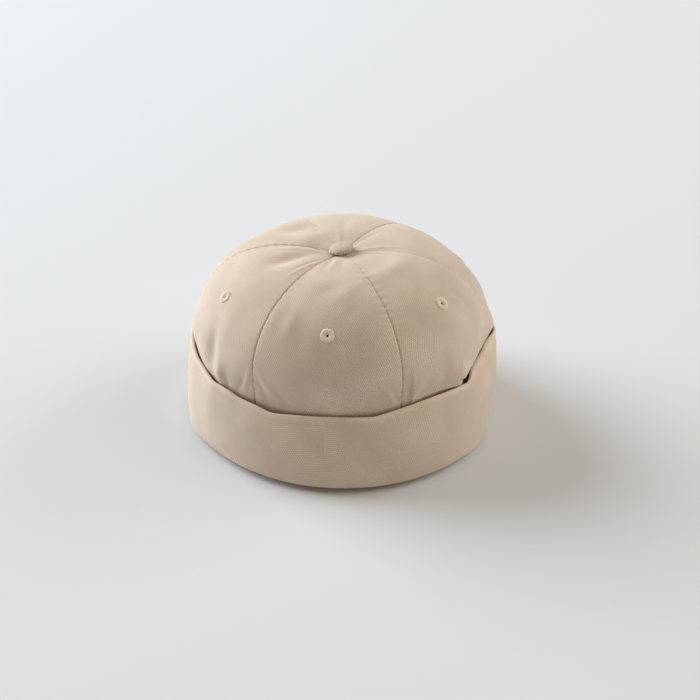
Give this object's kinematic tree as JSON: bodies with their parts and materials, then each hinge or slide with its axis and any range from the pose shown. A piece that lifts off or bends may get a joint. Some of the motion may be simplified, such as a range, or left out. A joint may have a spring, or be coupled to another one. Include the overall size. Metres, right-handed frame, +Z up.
{
  "type": "docker cap",
  "caption": "Brimless twill cap with a round crown of sewn panels, vent eyelets, a covered top button and a turned-up cuff it stands on.",
  "frame": {"origin": "on the floor under the middle of the cap's box", "axes": "+Z up to the button, -Y to the front panel, +X to the viewer's right from the front"},
  "size_m": [0.198, 0.2048, 0.1154],
  "materials": {
    "crown_cloth": "matt beige cotton twill",
    "cuff_cloth": "matt beige cotton twill, doubled",
    "button_cloth": "matt beige cotton twill over a button",
    "eyelet_thread": "beige embroidery thread"
  },
  "bodies": {
    "root": {"crown_panel_front": "crown_cloth", "crown_panel_front_right": "crown_cloth", "crown_panel_back_right": "crown_cloth", "crown_panel_back": "crown_cloth", "crown_panel_back_left": "crown_cloth", "crown_panel_front_left": "crown_cloth", "cuff": "cuff_cloth", "top_button": "button_cloth", "eyelet_front": "eyelet_thread", "eyelet_front_right": "eyelet_thread", "eyelet_back_right": "eyelet_thread", "eyelet_back": "eyelet_thread", "eyelet_back_left": "eyelet_thread", "eyelet_front_left": "eyelet_thread"}
  },
  "joints": []
}
